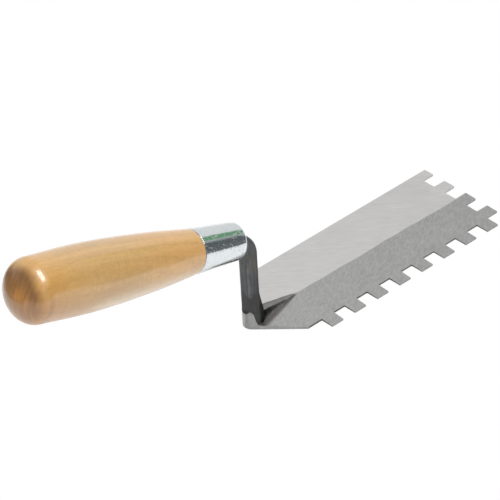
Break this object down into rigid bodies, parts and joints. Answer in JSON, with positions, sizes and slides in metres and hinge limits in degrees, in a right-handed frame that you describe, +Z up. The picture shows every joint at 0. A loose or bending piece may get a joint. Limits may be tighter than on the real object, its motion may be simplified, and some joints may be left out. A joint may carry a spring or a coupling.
{
  "type": "notched margin trowel",
  "caption": "Small flat notched trowel: steel blade with square notches along a long edge and the tip, cranked square shank, plated ferrule and turned wooden handle",
  "frame": {"origin": "on the flat underside of the blade, on the blade's centreline, straight below the axis of the upright shank", "axes": "+X along the blade to the notched tip, +Z up away from the ground the blade is laid on, -Y to the notched long edge"},
  "size_m": [0.2408, 0.05, 0.0899],
  "materials": {
    "forged_steel": "blade ground with diagonal grind lines, shank left darker and smoother from the forge, thin clear lacquer",
    "plated_steel": "bright plated, faint lengthwise marks",
    "lacquered_wood": "clear lacquer over fine lengthwise grain, end grain at the butt"
  },
  "bodies": {
    "root": {"blade_shank_tang": "forged_steel", "ferrule": "plated_steel", "wooden_handle": "lacquered_wood"}
  },
  "joints": []
}
